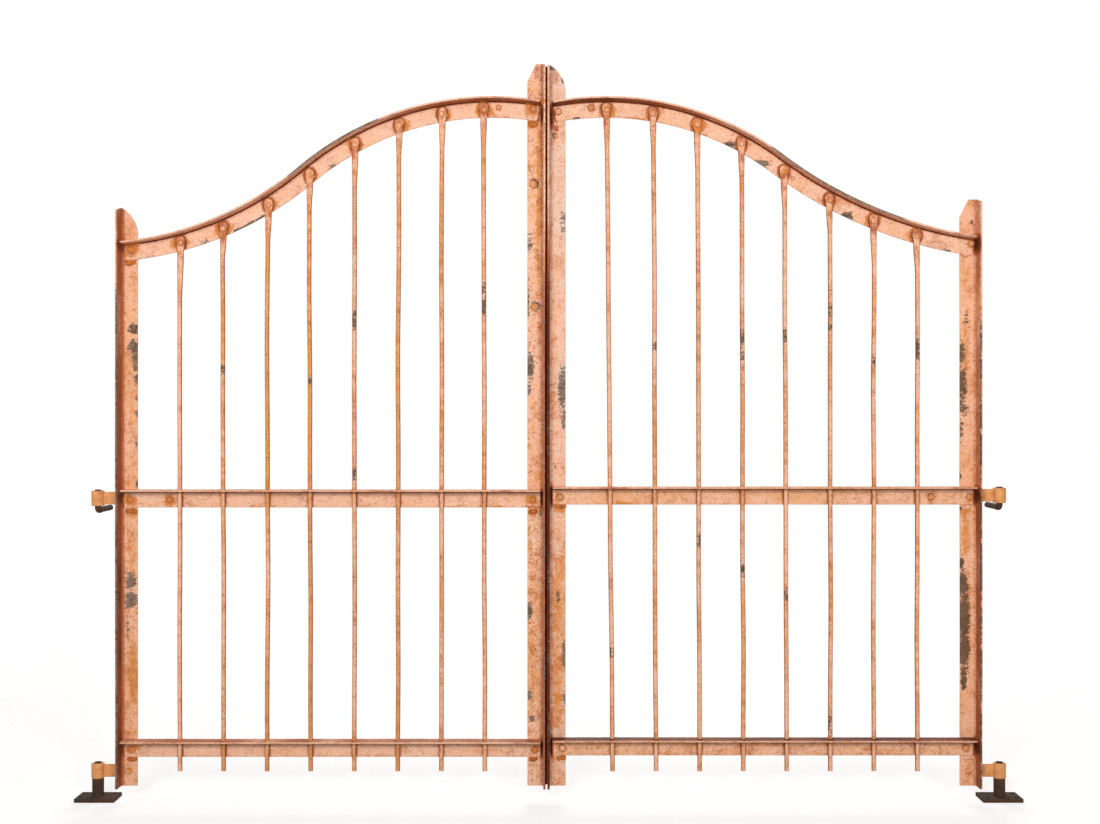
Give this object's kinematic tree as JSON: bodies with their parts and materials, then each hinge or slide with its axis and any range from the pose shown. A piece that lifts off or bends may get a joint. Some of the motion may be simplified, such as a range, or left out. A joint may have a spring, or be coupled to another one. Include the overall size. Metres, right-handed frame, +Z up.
{
  "type": "double-leaf driveway gate",
  "caption": "Double driveway gate of riveted angle iron with round upright bars and a curved top rail, on hook pins and ground pivots",
  "frame": {"origin": "on the left hinge axis, on the underside of the left ground pivot", "axes": "+X runs to the right hinge axis, +Z is up, and the leaves open towards -Y"},
  "size_m": [2.61, 0.18, 2.0366],
  "materials": {
    "stile_paint": "weathered salmon and ochre paint with rust",
    "rail_paint": "weathered salmon paint",
    "bar_paint": "weathered ochre paint with dark chips",
    "rusted_strap": "rusted strap iron",
    "dark_iron": "dark forged iron"
  },
  "bodies": {
    "hinge_hardware": {"left_hook_pin": "dark_iron", "left_ground_pivot": "dark_iron", "right_hook_pin": "dark_iron", "right_ground_pivot": "dark_iron"},
    "left_leaf": {"left_hinge_stile": "stile_paint", "left_meeting_stile": "stile_paint", "left_top_rail": "rail_paint", "left_mid_rail": "rail_paint", "left_bottom_rail": "rail_paint", "left_upper_strap": "rusted_strap", "left_heel_strap": "rusted_strap", "left_bar_1": "bar_paint", "left_bar_2": "bar_paint", "left_bar_3": "bar_paint", "left_bar_4": "bar_paint", "left_bar_5": "bar_paint", "left_bar_6": "bar_paint", "left_bar_7": "bar_paint", "left_bar_8": "bar_paint", "left_cover_strip": "dark_iron"},
    "right_leaf": {"right_hinge_stile": "stile_paint", "right_meeting_stile": "stile_paint", "right_top_rail": "rail_paint", "right_mid_rail": "rail_paint", "right_bottom_rail": "rail_paint", "right_upper_strap": "rusted_strap", "right_heel_strap": "rusted_strap", "right_bar_1": "bar_paint", "right_bar_2": "bar_paint", "right_bar_3": "bar_paint", "right_bar_4": "bar_paint", "right_bar_5": "bar_paint", "right_bar_6": "bar_paint", "right_bar_7": "bar_paint", "right_bar_8": "bar_paint"}
  },
  "joints": [
    {"name": "left_leaf_swing", "type": "hinge", "parent": "hinge_hardware", "child": "left_leaf", "pos_m": [0, 0, 0], "axis": [0, 0, -1], "range_deg": [0, 90]},
    {"name": "right_leaf_swing", "type": "hinge", "parent": "hinge_hardware", "child": "right_leaf", "pos_m": [2.5, 0, 0], "axis": [0, 0, 1], "range_deg": [0, 90]}
  ]
}
